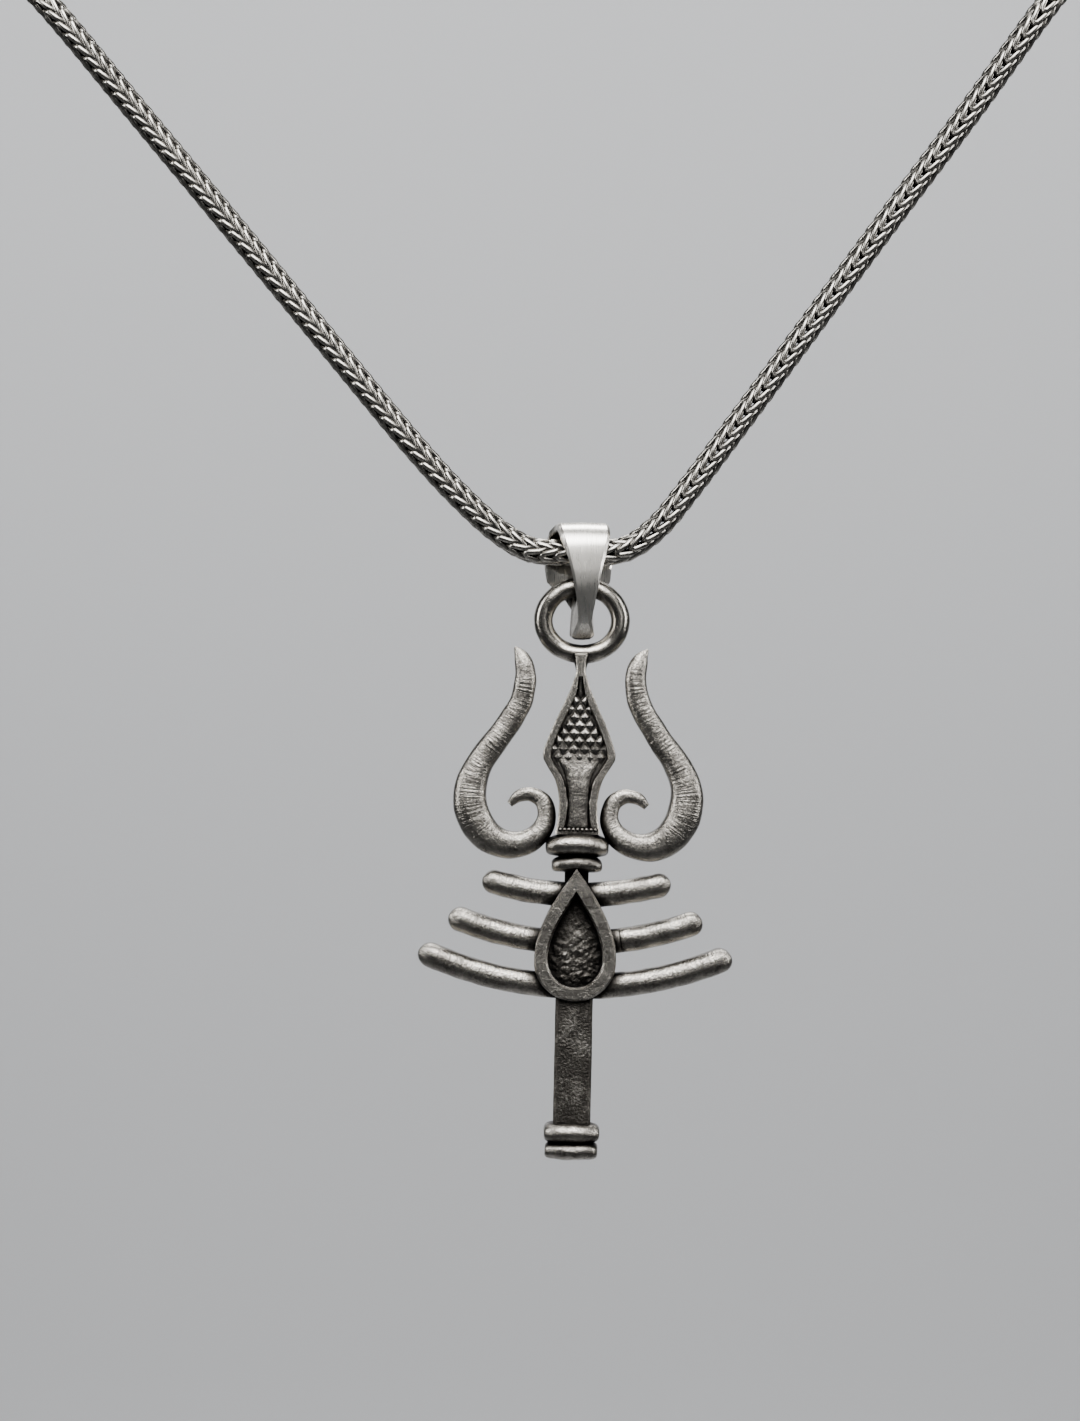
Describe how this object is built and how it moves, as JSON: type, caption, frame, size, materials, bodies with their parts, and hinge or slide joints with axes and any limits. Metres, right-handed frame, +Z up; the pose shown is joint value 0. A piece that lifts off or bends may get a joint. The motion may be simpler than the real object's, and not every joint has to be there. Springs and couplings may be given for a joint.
{
  "type": "trident pendant necklace",
  "caption": "Silver trident pendant with scrolled prongs, bowed cross bars and a teardrop frame, on a tapered bail and a round braided chain.",
  "frame": {"origin": "middle of the clasp, where the necklace hangs at the nape of the neck", "axes": "+Z up and along the hanging pendant, +X across to the wearer's left, the pendant's front faces -Y"},
  "size_m": [0.137, 0.1232, 0.1822],
  "materials": {
    "cast_silver": "antiqued cast silver",
    "bail_silver": "polished silver with dark edges",
    "chain_silver": "oxidised braided silver",
    "clasp_silver": "satin silver"
  },
  "bodies": {
    "necklace": {"chain": "chain_silver", "clasp": "clasp_silver"},
    "bail_body": {"bail": "bail_silver"},
    "pendant": {"trident": "cast_silver"}
  },
  "joints": [
    {"name": "bail_swing", "type": "hinge", "parent": "necklace", "child": "bail_body", "pos_m": [0, -0.118, -0.1246], "axis": [1, 0, 0], "range_deg": [-45, 45]},
    {"name": "pendant_sway", "type": "hinge", "parent": "bail_body", "child": "pendant", "pos_m": [0, -0.118, -0.13078], "axis": [0, 1, 0], "range_deg": [-30, 30]}
  ]
}
